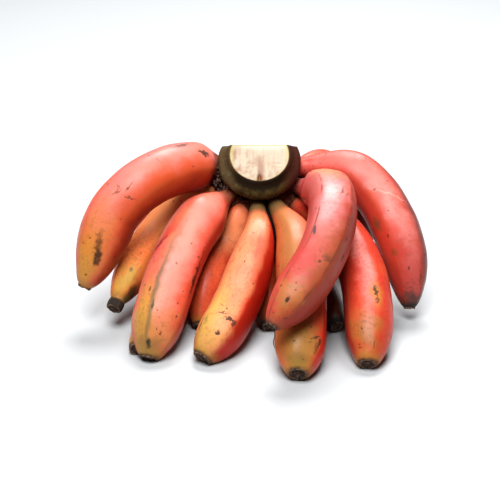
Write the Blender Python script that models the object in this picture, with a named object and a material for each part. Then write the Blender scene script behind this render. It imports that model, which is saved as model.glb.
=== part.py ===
"""A hand of red bananas, cut whole from its bunch and standing on its fingertips.

The crown is the piece of stalk that the hand was cut away with. Two rows of bananas
grow from its round underside: the front row next to the cut end, and the back row
behind and below it. Each banana is one body, from the stem that leaves the crown to
the dried flower end. X runs across the hand, Y away from its front and Z up. The
origin is on the floor, under the middle of the hand.
"""
import math
from dataclasses import dataclass

import bmesh
import bpy
import numpy as np
from mathutils import Matrix, Vector

MM = 0.001

# The crown: where it is, how its stalk axis leans, and its cross-section.
CROWN_CENTRE = Vector((6, 64, 119)) * MM
CROWN_LEAN = math.radians(50)      # stalk axis above the horizontal, leaning to the front
STEM_GAP = 0.3 * MM                # clearance between a stem's root and the crown
CORE_RADIUS = 27.5 * MM            # round underside that the stems grow from
LEVEL_CUT = 8.8 * MM               # height of the lengthwise cut above the stalk axis
CUT_RISE = 0.42                    # rise of that cut behind the end face, per unit of depth

# Outline of the crown along the stalk axis, as depth behind the end face and radius.
END_FACE = (0.0, 23.5)
COLLAR = ((1.2, 25.3), (5.0, 28.6), (9.5, 32.2), (13.5, 33.8), (16.0, 33.2), (17.6, 30.2))
CORE = ((18.4, 27.5), (32.0, 27.5), (42.0, 26.5))
STALK_END = ((46.0, 23.0), (47.5, 17.0))
ARC_STEPS = 26
CUT_STEPS = 6

# The two rows of stems: depth of each row behind the end face.
FRONT_ROW = 24.5 * MM
BACK_ROW = 38.0 * MM

# A banana's section and the shape of its two ends, from the crown outwards.
SIDES = 15                         # three to each of the five ridges
RIDGES = 5
RIDGE_HEIGHT = 0.035               # of the radius
ROOT_RADIUS = 4.7 * MM
ROOT_DEPTH = 20 * MM               # distance of the path's start from the stalk axis
STEM_REACH = 37 * MM               # distance from that axis at which the path is free
SWELL_POWER = 0.75                 # below 1 the shoulder is rounder
BLUNT_POWER = 0.8                  # lower makes the tip blunter
BODY_STEP = 13 * MM                # distance between sections along the plain middle


@dataclass
class Banana:
    """One fruit: where its stem leaves the stalk, how thick it is and how it lies.

    The angle goes round the stalk from straight down, the places are points that the
    middle line passes through, and every length is in millimetres.
    """
    name: str
    angle: float
    girth: float               # radius at its thickest
    places: tuple
    neck: float = 6.2          # radius of the stem
    stem: float = 6.0          # free length of the stem before it swells
    swell: float = 34.0        # length over which the stem swells into the fruit
    taper: float = 48.0        # length over which the fruit narrows to its tip
    end: float = 5.8           # radius of the flower end


# Front row, left to right.
FRONT_BANANAS = (
    Banana("front_banana_1", -93, 20.7, ((-64, 53, 109.5), (-107, 22, 86), (-122, 6, 50), (-130, 0, 34)),
           neck=7.2, stem=3, swell=32, taper=52),
    Banana("front_banana_2", -47, 21.0, ((-40, 37, 74), (-60, -6, 49), (-70, -37, 23.5), (-76, -56, 3)),
           stem=10, swell=34, taper=38, end=6.6),
    Banana("front_banana_3", -2, 18.8, ((5, 27, 70), (-7, -11, 40), (-21, -39, 21), (-37, -61, 5.4)),
           swell=74, taper=32, end=7),
    Banana("front_banana_4", 22, 19.3, ((32, 26, 69), (38, -24, 36), (36, -60, 19), (33, -89, 7.2)),
           swell=74, taper=34, end=7.2),
    Banana("front_banana_5", 64, 19.5, ((61, 26, 100), (54, -28, 82), (31, -65, 59), (14, -83, 44)),
           swell=35),
    Banana("front_banana_6", 93, 18.7, ((77, 79, 99), (111, 44, 72), (123, 20, 34), (124, 9, 11)),
           neck=7.0, swell=50, end=5.4),
)

# Back row, left to right.
BACK_BANANAS = (
    Banana("back_banana_1", -107, 15.2, ((-44, 118.5, 91), (-78, 114.5, 56), (-86, 98, 0.3)), swell=52),
    Banana("back_banana_2", -72, 15.5, ((-60, 76, 65), (-89, 31, 41), (-107, -8, 19)), swell=54),
    Banana("back_banana_3", -48, 11.5, ((-48, 72, 35), (-70, 21, 12), (-92, -20, 8.5), (-97, -42, 5)),
           swell=60, taper=60),
    Banana("back_banana_4", -24, 16.0, ((-18, 56, 48), (-31, 30, 32), (-40, -8, 3.5)), swell=52),
    Banana("back_banana_5", 3, 16.0, ((9, 56, 44), (13, 28, 24), (14, -12, 4.6)), swell=62),
    Banana("back_banana_6", 27, 16.0, ((36, 60.5, 36), (50, 30, 20), (66, -14, 6.2)), swell=64),
    Banana("back_banana_7", 51, 19.2, ((54, 52, 59), (82, 4, 43), (88, -42, 20), (86, -70, 5.5)),
           swell=62, taper=42, end=6.8),
    Banana("back_banana_8", 107, 16.5, ((54, 110, 92), (84, 114, 58), (88, 99, 0.3))),
)


def clear_scene():
    """Start from an empty scene."""
    for item in list(bpy.data.objects):
        bpy.data.objects.remove(item, do_unlink=True)


def make_material(name, colour, roughness):
    """A plain Principled material."""
    material = bpy.data.materials.new(name)
    material.use_nodes = True
    shader = material.node_tree.nodes["Principled BSDF"]
    shader.inputs["Base Color"].default_value = (*colour, 1.0)
    shader.inputs["Roughness"].default_value = roughness
    shader.inputs["Metallic"].default_value = 0.0
    return material


def make_object(name, bm, material):
    """Turn a finished bmesh into an object with smooth round sides."""
    bmesh.ops.recalc_face_normals(bm, faces=bm.faces)
    mesh = bpy.data.meshes.new(name)
    bm.to_mesh(mesh)
    bm.free()
    mesh.shade_smooth()
    mesh.set_sharp_from_angle(angle=math.radians(40))
    mesh.materials.append(material)
    made = bpy.data.objects.new(name, mesh)
    bpy.context.collection.objects.link(made)
    return made


def crown_frame():
    """Axes of the crown: across, up the lengthwise cut, and out of the end face."""
    across = Vector((1, 0, 0))
    outward = Vector((0, -math.cos(CROWN_LEAN), math.sin(CROWN_LEAN)))
    upward = outward.cross(across)
    return across, upward, outward


def crown_point(side, up, depth):
    """World place of a point given across, up and behind the end face."""
    across, upward, outward = crown_frame()
    return CROWN_CENTRE + across * side + upward * up - outward * depth


def crown_section(depth, radius):
    """The D-shaped outline of the crown at one depth: a round underside and a level cut."""
    cut = min(LEVEL_CUT + CUT_RISE * depth, 0.5 * radius)
    half_arc = math.pi / 2 + math.asin(cut / radius)
    outline = []
    for step in range(ARC_STEPS + 1):
        angle = -half_arc + 2 * half_arc * step / ARC_STEPS
        outline.append((radius * math.sin(angle), -radius * math.cos(angle)))
    right, level = outline[-1]
    for step in range(1, CUT_STEPS):
        outline.append((right * (1 - 2 * step / CUT_STEPS), level))
    return [crown_point(side, up, depth) for side, up in outline]


def loft(bm, sections):
    """Skin a list of closed outlines and close both ends."""
    rings = [[bm.verts.new(point) for point in section] for section in sections]
    for near, far in zip(rings, rings[1:]):
        for index in range(len(near)):
            following = (index + 1) % len(near)
            bm.faces.new((near[index], near[following], far[following], far[index]))
    bm.faces.new(rings[0])
    bm.faces.new(rings[-1])
    return rings


def make_crown(material):
    """The cut piece of stalk: a pale end face, a flared collar and the core behind it."""
    bm = bmesh.new()
    outline = (END_FACE, *COLLAR, *CORE, *STALK_END)
    loft(bm, [crown_section(depth * MM, radius * MM) for depth, radius in outline])
    return make_object("crown", bm, material)


def make_core_cutter():
    """A hidden round bar that trims every stem's root to the crown's underside."""
    across, upward, outward = crown_frame()
    bm = bmesh.new()
    radius = CORE_RADIUS + STEM_GAP
    bmesh.ops.create_cone(bm, cap_ends=True, segments=48, radius1=radius, radius2=radius,
                          depth=90 * MM)
    turn = Matrix((across, upward, outward)).transposed().to_4x4()
    place = Matrix.Translation(crown_point(0, 0, 32 * MM))
    bmesh.ops.transform(bm, matrix=place @ turn, verts=bm.verts)
    cutter = make_object("core_cutter", bm, make_material("cutter", (0.5, 0.5, 0.5), 0.5))
    cutter.hide_render = True
    cutter.display_type = "WIRE"
    return cutter


def spline_through(points):
    """A smooth curve through the points: a natural cubic spline on chord length."""
    points = np.array(points, dtype=float)
    knots = np.concatenate(([0.0], np.cumsum(np.linalg.norm(np.diff(points, axis=0), axis=1))))
    gaps = np.diff(knots)
    count = len(points)
    system = np.eye(count)
    target = np.zeros_like(points)
    for row in range(1, count - 1):
        system[row, row - 1] = gaps[row - 1]
        system[row, row] = 2 * (gaps[row - 1] + gaps[row])
        system[row, row + 1] = gaps[row]
        rise = np.diff(points, axis=0) / gaps[:, None]
        target[row] = 6 * (rise[row] - rise[row - 1])
    bends = np.linalg.solve(system, target)

    def evaluate(distance):
        part = int(np.clip(np.searchsorted(knots, distance) - 1, 0, count - 2))
        gap = gaps[part]
        before = (knots[part + 1] - distance) / gap
        after = (distance - knots[part]) / gap
        curve = (before ** 3 - before) * bends[part] + (after ** 3 - after) * bends[part + 1]
        return before * points[part] + after * points[part + 1] + curve * gap ** 2 / 6

    samples = 400
    line = np.array([evaluate(knots[-1] * step / samples) for step in range(samples + 1)])
    return line


def banana_path(banana, row_depth):
    """Middle line of a banana, from inside the crown out through its stem to its tip."""
    turn = math.radians(banana.angle)

    def round_stalk(reach):
        return crown_point(reach * math.sin(turn), -reach * math.cos(turn), row_depth)

    route = [round_stalk(ROOT_DEPTH), round_stalk(STEM_REACH)]
    route += [Vector(place) * MM for place in banana.places]
    return spline_through([tuple(point) for point in route])


def smooth_step(value):
    """Ease from 0 to 1."""
    value = min(max(value, 0.0), 1.0)
    return value * value * (3 - 2 * value)


def banana_radius(banana, distance, length):
    """Radius of a banana at a distance along its middle line."""
    free_stem = STEM_REACH - ROOT_DEPTH
    stem = ROOT_RADIUS + (banana.neck * MM - ROOT_RADIUS) * smooth_step(distance / free_stem)
    swell_start = CORE_RADIUS - ROOT_DEPTH + banana.stem * MM
    swollen = smooth_step((distance - swell_start) / (banana.swell * MM)) ** SWELL_POWER
    body = stem + (banana.girth * MM - stem) * swollen
    left = max(length - distance, 0.0) / (banana.taper * MM)
    if left >= 1:
        return body
    narrowing = (1 - (1 - left) ** 2) ** BLUNT_POWER
    end = banana.end * MM
    return end + (body - end) * narrowing


def banana_stations(banana, length):
    """Distances along the middle line at which a section is set."""
    swell = CORE_RADIUS - ROOT_DEPTH + banana.stem * MM
    stem = [0.0, swell]
    shoulder = [swell + banana.swell * MM * part for part in (0.22, 0.42, 0.62, 0.82, 1.0)]
    first = shoulder[-1]
    last = length - banana.taper * MM
    count = max(1, round((last - first) / BODY_STEP))
    body = [first + (last - first) * step / count for step in range(1, count + 1)]
    taper = [length - banana.taper * MM * part for part in (0.66, 0.42, 0.24, 0.12, 0.045, 0.0)]
    return stem + shoulder + body + taper


def banana_section(centre, normal, side, radius, ridge_share):
    """One five-ridged outline across the middle line."""
    outline = []
    for index in range(SIDES):
        angle = 2 * math.pi * index / SIDES
        ridge = 1 + RIDGE_HEIGHT * ridge_share * math.cos(RIDGES * angle)
        reach = radius * ridge
        outline.append(centre + normal * (reach * math.cos(angle)) + side * (reach * math.sin(angle)))
    return outline


def banana_sections(banana, line):
    """All outlines of a banana, with the ridges carried along without twist."""
    steps = np.linalg.norm(np.diff(line, axis=0), axis=1)
    along = np.concatenate(([0.0], np.cumsum(steps)))
    length = along[-1]
    normal = Vector((0, 0, 1))
    sections = []
    for distance in banana_stations(banana, length):
        place = [float(np.interp(distance, along, line[:, axis])) for axis in range(3)]
        near = int(np.clip(np.searchsorted(along, distance), 1, len(line) - 2))
        heading = Vector(line[near + 1] - line[near - 1]).normalized()
        normal = (normal - heading * normal.dot(heading)).normalized()
        side = heading.cross(normal)
        radius = banana_radius(banana, distance, length)
        ridge_share = smooth_step((radius - banana.end * MM) / (0.5 * banana.girth * MM))
        sections.append(banana_section(Vector(place), normal, side, radius, ridge_share))
    return sections, heading


def add_flower_end(bm, ring, heading):
    """The dried flower end: a rim turned in round a shallow rough hollow."""
    cap = next(face for face in bm.faces if set(face.verts) == set(ring))
    bmesh.ops.inset_region(bm, faces=[cap], thickness=1.8 * MM, depth=0.0)
    for vertex in cap.verts:
        vertex.co -= heading * (1.4 * MM)


def press_on_floor(bm):
    """Cut a small flat where the fruit presses on the floor, at level zero."""
    whole = list(bm.verts) + list(bm.edges) + list(bm.faces)
    cut = bmesh.ops.bisect_plane(bm, geom=whole, plane_co=(0, 0, 0), plane_no=(0, 0, 1),
                                 clear_inner=True)
    edges = [part for part in cut["geom_cut"] if isinstance(part, bmesh.types.BMEdge)]
    if edges:
        bmesh.ops.holes_fill(bm, edges=edges, sides=0)


def make_banana(banana, row_depth, material, cutter):
    """One banana with its stem, its five ridges and its dried flower end."""
    sections, heading = banana_sections(banana, banana_path(banana, row_depth))
    bm = bmesh.new()
    rings = loft(bm, sections)
    add_flower_end(bm, rings[-1], heading)
    press_on_floor(bm)
    made = make_object(banana.name, bm, material)
    trim = made.modifiers.new("trim_root", "BOOLEAN")
    trim.operation = "DIFFERENCE"
    trim.solver = "EXACT"
    trim.object = cutter
    return made


def centre_over_origin(made, cutter):
    """Slide everything level, so that the origin lies under the middle of the hand."""
    corners = [vertex.co for item in made for vertex in item.data.vertices]
    middle = Vector()
    for axis in (0, 1):
        middle[axis] = (min(c[axis] for c in corners) + max(c[axis] for c in corners)) / 2
    for item in (*made, cutter):
        item.data.transform(Matrix.Translation(-middle))


def build():
    """The whole hand."""
    clear_scene()
    rind = make_material("dark_olive_rind", (0.10, 0.065, 0.02), 0.6)
    front_skin = make_material("red_skin", (0.62, 0.10, 0.05), 0.4)
    back_skin = make_material("shaded_red_skin", (0.55, 0.09, 0.03), 0.42)
    cutter = make_core_cutter()
    made = [make_crown(rind)]
    made += [make_banana(banana, FRONT_ROW, front_skin, cutter) for banana in FRONT_BANANAS]
    made += [make_banana(banana, BACK_ROW, back_skin, cutter) for banana in BACK_BANANAS]
    centre_over_origin(made, cutter)


build()
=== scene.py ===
import math
import random

import bpy
import numpy as np
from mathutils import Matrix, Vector, noise


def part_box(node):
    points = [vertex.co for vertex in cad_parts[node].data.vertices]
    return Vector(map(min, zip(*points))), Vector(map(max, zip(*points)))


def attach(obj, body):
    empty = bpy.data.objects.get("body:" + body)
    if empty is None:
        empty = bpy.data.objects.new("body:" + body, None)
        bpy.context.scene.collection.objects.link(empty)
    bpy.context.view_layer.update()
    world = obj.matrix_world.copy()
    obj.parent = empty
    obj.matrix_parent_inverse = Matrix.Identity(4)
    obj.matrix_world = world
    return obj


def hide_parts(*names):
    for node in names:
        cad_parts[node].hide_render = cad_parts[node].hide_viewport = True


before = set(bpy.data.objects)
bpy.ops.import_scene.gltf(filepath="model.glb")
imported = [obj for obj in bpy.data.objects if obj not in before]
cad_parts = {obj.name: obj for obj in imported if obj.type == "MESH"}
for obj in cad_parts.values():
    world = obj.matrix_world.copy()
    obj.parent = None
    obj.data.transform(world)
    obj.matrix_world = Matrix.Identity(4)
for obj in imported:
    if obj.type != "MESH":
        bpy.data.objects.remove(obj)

# The studio: a plain pale floor that the hand stands on, a camera that looks
# slightly down on its cut end, and soft light from two large white panels.
MM = 0.001
VIEW_RISE = math.radians(25)
VIEW_DISTANCE = 0.95
AIM_LEFT, AIM_FORWARD, AIM_DOWN = 7.5 * MM, 51.3 * MM, 56.7 * MM
LIT_POINT = Vector((0, 0, 0.06))
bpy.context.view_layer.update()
crown_low, crown_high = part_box("crown")
crown_middle = (crown_low.x + crown_high.x) / 2
aim = Vector((crown_middle - AIM_LEFT, crown_low.y - AIM_FORWARD, crown_high.z - AIM_DOWN))
back_off = Vector((0, -math.cos(VIEW_RISE), math.sin(VIEW_RISE))) * VIEW_DISTANCE

bpy.ops.object.select_all(action="DESELECT")
bpy.ops.object.camera_add(location=aim + back_off, rotation=(math.pi / 2 - VIEW_RISE, 0, 0))
camera = bpy.context.object
camera.name = "studio_camera"
camera.data.lens = 90
camera.data.sensor_width = 36
bpy.context.scene.camera = camera
bpy.context.scene.view_settings.view_transform = "Standard"

bpy.ops.mesh.primitive_plane_add(size=9, location=(0, 0, -0.1 * MM))
floor = bpy.context.object
floor.name = "studio_floor"
bpy.ops.object.transform_apply(location=True, rotation=True, scale=True)
floor_paint = bpy.data.materials.new("white_floor_paint")
floor_paint.use_nodes = True
floor_shader = floor_paint.node_tree.nodes["Principled BSDF"]
floor_shader.inputs["Base Color"].default_value = (0.445, 0.46, 0.47, 1)
floor_shader.inputs["Roughness"].default_value = 0.9
floor_shader.inputs["Specular IOR Level"].default_value = 0.0
floor.data.materials.append(floor_paint)

air = bpy.data.worlds.new("studio_air")
air.use_nodes = True
air.node_tree.nodes["Background"].inputs["Color"].default_value = (1, 1, 1, 1)
air.node_tree.nodes["Background"].inputs["Strength"].default_value = 0.04
bpy.context.scene.world = air


def hang_panel(name, place, size, watts):
    """A square white light panel, turned to face the hand."""
    bpy.ops.object.light_add(type="AREA", location=place)
    panel = bpy.context.object
    panel.name = name
    panel.data.size = size
    panel.data.energy = watts
    facing = LIT_POINT - Vector(place)
    panel.rotation_euler = facing.to_track_quat("-Z", "Y").to_euler()


hang_panel("panel_in_front", (-0.1, -0.47, 1.1), 0.6, 22)
hang_panel("panel_behind", (0.15, 0.95, 1.7), 0.9, 64)


# The crown: the piece of stalk that the hand was cut away with. A dark olive
# rind flares into a collar round the pale end that the knife left, and the
# upper side was split off lengthwise. The stems grow from its round underside.
CROWN_LEAN = math.radians(50)
CUT_RISE, CUT_SLOPE = 8.8, 0.42
FOREMOST_RADIUS, FOREMOST_DEPTH = 28.6, 5.0
SEAT_DEPTH, FOOT_DEPTH, STALK_LENGTH = 2.6, 47.6, 48
CROWN_STATIONS = (
    (0.9, 23.3), (0.3, 23.9), (0.5, 24.6), (1.4, 25.4), (2.6, 26.2), (4.0, 27.2), (5.4, 28.5),
    (6.6, 30.3), (7.8, 32.0), (9.2, 33.1), (11.0, 33.7), (13.0, 33.8), (14.6, 33.4), (15.8, 32.4),
    (16.8, 30.8), (17.6, 29.0), (18.6, 27.6), (21.0, 27.4), (24.0, 27.5), (28.0, 27.5),
    (32.0, 27.5), (36.0, 27.3), (40.0, 26.9), (43.0, 25.6), (45.2, 23.6), (46.6, 20.6),
    (47.3, 17.0))
PITH_SHARES = (0.0, 0.1, 0.2, 0.3, 0.4, 0.5, 0.6, 0.7, 0.78, 0.86, 0.92, 0.96, 0.985, 1.0)
ROUND_STEPS = 108
CUT_STEPS = 36
CREASE = math.radians(50)
across = Vector((1, 0, 0))
outward = Vector((0, -math.cos(CROWN_LEAN), math.sin(CROWN_LEAN)))
upward = outward.cross(across)
collar_front = FOREMOST_RADIUS * math.sin(CROWN_LEAN) - FOREMOST_DEPTH * math.cos(CROWN_LEAN)
crown_centre = Vector((crown_middle, crown_low.y + collar_front * MM,
                       crown_high.z - CUT_RISE * math.cos(CROWN_LEAN) * MM))


def crown_point(side, up, depth):
    """Place of a point across, up and behind the crown's end face, in metres."""
    return crown_centre + across * side + upward * up - outward * depth


def stem_place(turn, reach, depth):
    """Place at a turn round the stalk from straight below it, reach and depth in mm."""
    return crown_point(reach * MM * math.sin(turn), -reach * MM * math.cos(turn), depth * MM)


def ease(value):
    """A smooth step from 0 to 1."""
    value = min(max(value, 0.0), 1.0)
    return value * value * (3 - 2 * value)


def roll_sheet(name, rows, shares):
    """Roll a grid into a closed skin: a row of points for each ring, and its share along."""
    rings, sides = len(rows), len(rows[0])
    bpy.ops.object.select_all(action="DESELECT")
    bpy.ops.mesh.primitive_grid_add(x_subdivisions=sides, y_subdivisions=rings - 1, size=2)
    piece = bpy.context.object
    piece.name = name
    skin = piece.data
    skin.name = name
    flat = np.empty(len(skin.vertices) * 3)
    skin.vertices.foreach_get("co", flat)
    flat = flat.reshape(-1, 3)
    column = np.rint((flat[:, 0] + 1) / 2 * sides).astype(int)
    ring = np.rint((flat[:, 1] + 1) / 2 * (rings - 1)).astype(int)
    points = np.array(rows, dtype=float)
    skin.vertices.foreach_set("co", points[ring, column % sides].ravel())
    corner = np.empty(len(skin.loops), dtype=np.int32)
    skin.loops.foreach_get("vertex_index", corner)
    places = np.stack((column[corner] / sides, np.array(shares)[ring[corner]]), axis=1)
    skin.uv_layers[0].data.foreach_set("uv", places.ravel())
    skin.uv_layers[0].name = "round_and_along"
    skin.update()
    bpy.ops.object.mode_set(mode="EDIT")
    bpy.ops.mesh.select_all(action="SELECT")
    bpy.ops.mesh.remove_doubles(threshold=0.00001)
    bpy.ops.mesh.normals_make_consistent(inside=False)
    bpy.ops.object.mode_set(mode="OBJECT")
    bpy.ops.object.shade_smooth_by_angle(angle=CREASE)
    return piece


def crown_outline(depth, radius):
    """The D-shaped section: a round underside and the level of the lengthwise cut."""
    cut = min(CUT_RISE + CUT_SLOPE * depth, 0.5 * radius)
    half_arc = math.pi / 2 + math.asin(cut / radius)
    outline = []
    for step in range(ROUND_STEPS + 1):
        turn = -half_arc + 2 * half_arc * step / ROUND_STEPS
        outline.append((radius * math.sin(turn), -radius * math.cos(turn)))
    right, level = outline[-1]
    return outline + [(right * (1 - 2 * step / CUT_STEPS), level) for step in range(1, CUT_STEPS)]


def crown_ring(outline, share, depth_at):
    """One ring: the outline drawn in towards its middle, each point at its own depth."""
    ring = []
    for side, up in outline:
        side, up = side * share, (up + 4) * share - 4
        ring.append(crown_point(side * MM, up * MM, depth_at(side, up) * MM))
    return ring


def level_rings(outline, depth, *shares):
    """Flat rings of one outline at one depth, each drawn in by a share."""
    return [crown_ring(outline, share, lambda side, up: depth) for share in shares]


def stalk_rows():
    """Rings from the hidden seat of the pith, over the collar and back to the stalk's end."""
    rows = level_rings(crown_outline(*CROWN_STATIONS[0]), SEAT_DEPTH, 0.0, 0.5, 0.98)
    for depth, radius in CROWN_STATIONS:
        row = []
        for side, up in crown_outline(depth, radius):
            lump = noise.noise(Vector((side * 0.09, up * 0.09, depth * 0.12))) * 0.7
            lump += noise.noise(Vector((side * 0.4, up * 0.4, depth * 0.3))) * 0.22
            grow = 1 + (lump - 0.5) / radius * ease(depth / 4)
            row.append(crown_point(side * grow * MM, up * grow * MM, depth * MM))
        rows.append(row)
    return rows + level_rings(crown_outline(*CROWN_STATIONS[-1]), FOOT_DEPTH, 0.8, 0.5, 0.2, 0.0)


def cut_face(side, up):
    """Depth of the knife's cut: fibres stand up and down it, and it is torn at the bottom."""
    fibres = noise.noise(Vector((side * 0.9, up * 0.06, 3))) * 0.35
    fibres += noise.noise(Vector((side * 2.6, up * 0.12, 9))) * 0.12
    notch = math.exp(-(side / 1.1) ** 2) * ease((-up - 13) / 7) * 2.2
    return 0.25 - fibres + notch


def add_node(tree, kind, feeds=None, **settings):
    """Add one node, give it its settings, and feed its inputs with values or wires."""
    made = tree.nodes.new(kind)
    for key, value in settings.items():
        setattr(made, key, value)
    for key, value in (feeds or {}).items():
        socket = made.inputs[key]
        if isinstance(value, Wire):
            value.feed(socket)
        elif isinstance(value, tuple) and socket.type == "RGBA":
            socket.default_value = (*value, 1)
        else:
            socket.default_value = value
    return made


class Wire:
    """What one output of a node gives. Adding or fading wires adds the nodes that do it."""

    def __init__(self, node, output=0):
        self.tree, self.socket = node.id_data, node.outputs[output]

    def feed(self, socket):
        """Lead the wire to an input."""
        self.tree.links.new(self.socket, socket)

    def reckon(self, rule, *others):
        """One step of arithmetic."""
        return Wire(add_node(self.tree, "ShaderNodeMath", dict(enumerate((self, *others))),
                             operation=rule))

    def __add__(self, other):
        return self.reckon("ADD", other)

    def __sub__(self, other):
        return self.reckon("SUBTRACT", other)

    def __rsub__(self, other):
        return Wire(add_node(self.tree, "ShaderNodeMath", {0: other, 1: self},
                             operation="SUBTRACT"))

    def __mul__(self, other):
        return self.reckon("MULTIPLY", other)

    def __truediv__(self, other):
        return self.reckon("DIVIDE", other)

    def __abs__(self):
        return self.reckon("ABSOLUTE")

    def shift(self, rule, by):
        """One step of arithmetic on a place."""
        return Wire(add_node(self.tree, "ShaderNodeVectorMath", {0: self, 1: by}, operation=rule))

    def parts(self):
        """The three numbers of a place."""
        split = add_node(self.tree, "ShaderNodeSeparateXYZ", {0: self})
        return [Wire(split, axis) for axis in range(3)]

    def fade(self, start, end, low=0.0, high=1.0):
        """Smooth passage from low to high as the value goes from start to end."""
        return Wire(add_node(self.tree, "ShaderNodeMapRange", {
            "Value": self, "From Min": start, "From Max": end, "To Min": low, "To Max": high},
            interpolation_type="SMOOTHSTEP"))


def mix(share, first, second):
    """Colour between two colours, as far as the share says."""
    return Wire(add_node(share.tree, "ShaderNodeMix", {0: share, 6: first, 7: second},
                         data_type="RGBA"), 2)


def layered(colour, *layers):
    """Colours laid over a ground, one after another, each as far as its share says."""
    for share, shade in layers:
        colour = mix(share, colour, shade)
    return colour


def cloud(place, scale, detail=3.0, roughness=0.5, stretch=None):
    """Soft noise over the piece, drawn out where it is given a stretch."""
    if stretch:
        place = Wire(add_node(place.tree, "ShaderNodeMapping", {"Vector": place, "Scale": stretch}))
    return Wire(add_node(place.tree, "ShaderNodeTexNoise", {
        "Vector": place, "Scale": scale, "Detail": detail, "Roughness": roughness}), "Fac")


def own_place(tree):
    """The piece's own coordinates."""
    return Wire(add_node(tree, "ShaderNodeTexCoord"), "Object")


def skin_places(tree):
    """Share round a rolled skin, share along it, and the piece's own coordinates."""
    laid = Wire(add_node(tree, "ShaderNodeUVMap", uv_map="round_and_along"))
    return (*laid.parts()[:2], own_place(tree))


class Paint:
    """A new material with its shader."""

    def __init__(self, name, roughness, shine=0.15):
        self.material = bpy.data.materials.new(name)
        self.material.use_nodes = True
        self.tree = self.material.node_tree
        self.shader = self.tree.nodes["Principled BSDF"]
        self.shader.inputs["Roughness"].default_value = roughness
        self.shader.inputs["Specular IOR Level"].default_value = shine

    def finished(self, colour, height, strength, distance):
        """The material, once its colour and its relief are led to the shader."""
        colour.feed(self.shader.inputs["Base Color"])
        bump = Wire(add_node(self.tree, "ShaderNodeBump", {
            "Height": height, "Strength": strength, "Distance": distance}))
        bump.feed(self.shader.inputs["Normal"])
        return self.material


def rind_paint():
    """Dark olive rind: painted shade in black-olive inside the lip, grey-brown and maroon
    at the horns.
    """
    paint = Paint("dark_olive_rind", 0.6, 0.12)
    depth, own = skin_places(paint.tree)[1:]
    side = own.parts()[0] - crown_centre.x
    patches = cloud(own, 130, 5, 0.6)
    fine = cloud(own, 700, 4, 0.65)
    depth = depth + patches * 0.08
    green = patches.fade(0.56, 0.62, 0, 0.7) * side.fade(-0.006, -0.016)
    # painted shade: near black on the steep rind inside the collar's lip
    inner = depth.fade(0.15, 0.19, 1.0, 0.0) * (1.0 - abs(side).fade(0.016, 0.024, 0.0, 0.75))
    split = abs(side + depth * 0.02 + fine * 0.0012 + 0.0025).fade(0.0002, 0.0006, 1, 0)
    split = split * abs(depth - 0.26).fade(0.05, 0.08, 0.9, 0.0)
    colour = layered(
        mix(patches.fade(0.35, 0.65), (0.026, 0.016, 0.003), (0.062, 0.040, 0.008)),
        (side.fade(0.010, 0.028), (0.046, 0.010, 0.005)),
        (side.fade(-0.012, -0.026, 0, 0.8), (0.078, 0.050, 0.022)),
        (green, (0.085, 0.080, 0.035)),
        (inner, (0.010, 0.006, 0.0015)),
        (split, (0.008, 0.004, 0.002)),
        (depth.fade(0.34, 0.40, 0.0, 0.85), (0.020, 0.011, 0.006)),
        (fine.fade(0.50, 0.75, 0, 0.5), (0.02, 0.012, 0.005)))
    return paint.finished(colour, fine + patches, 0.5, 0.0008)


def pith_paint():
    """Fresh cut pith: cream, with pink-brown fibres and stains, green just inside the rind,
    and a painted highlight that pales it towards the top.
    """
    paint = Paint("cut_pith", 0.75)
    edge, own = skin_places(paint.tree)[1:]
    own = own.shift("SUBTRACT", tuple(crown_centre))
    side, rise = own.parts()[::2]
    fibres = cloud(own, 480, 4, 0.6, (1, 0.10, 0.10))
    stains = cloud(own, 120, 5, 0.6, (1, 0.6, 0.6))
    blot = stains.fade(0.42, 0.62, 0, 0.85) * (rise + side * 0.5).fade(0.004, -0.012)
    middle = abs(side + stains * 0.004 - 0.003).fade(0.0006, 0.0045, 0.7, 0)
    torn = abs(side).fade(0.0010, 0.0032, 1, 0) * rise.fade(-0.0105, -0.0140)
    rim = edge.fade(0.84, 0.95, 0, 0.65) * rise.fade(-0.010, 0.001, 0.15, 1.0)
    colour = layered(
        mix(fibres.fade(0.42, 0.75, 0, 0.5), (0.46, 0.38, 0.285), (0.34, 0.22, 0.14)),
        # painted highlight: the upper part of the cut face paled towards white
        (rise.fade(0.001, 0.0095, 0, 0.9), (0.80, 0.78, 0.70)),
        (blot, (0.27, 0.135, 0.08)),
        (middle * rise.fade(0.002, -0.008), (0.26, 0.13, 0.09)),
        (torn, (0.13, 0.042, 0.012)),
        (rim, (0.38, 0.35, 0.13)),
        (edge.fade(0.965, 0.995, 0, 0.8), (0.20, 0.10, 0.03)))
    return paint.finished(colour, fibres, 0.4, 0.0008)


stalk_shares = [0, 0, 0] + [depth / STALK_LENGTH for depth, radius in CROWN_STATIONS] + [1] * 4
crown = roll_sheet("crown_stalk", stalk_rows(), stalk_shares)
crown.data.materials.append(rind_paint())
crown.data.materials.append(pith_paint())
for face in crown.data.polygons:
    if face.normal.dot(upward) > 0.8 and (face.center - crown_centre).dot(upward) > 5 * MM:
        face.material_index = 1
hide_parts("crown")
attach(crown, "root")

face_outline = crown_outline(0.3, 23.6)
pith_rows = [crown_ring(face_outline, share, cut_face) for share in PITH_SHARES]
pith_rows += level_rings(face_outline, 1.8, 1.0) + level_rings(face_outline, 2.2, 0.5, 0.0)
pith = roll_sheet("crown_cut_face", pith_rows, list(PITH_SHARES) + [1] * 3)
pith.data.materials.append(bpy.data.materials["cut_pith"])
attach(pith, "root")
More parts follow.
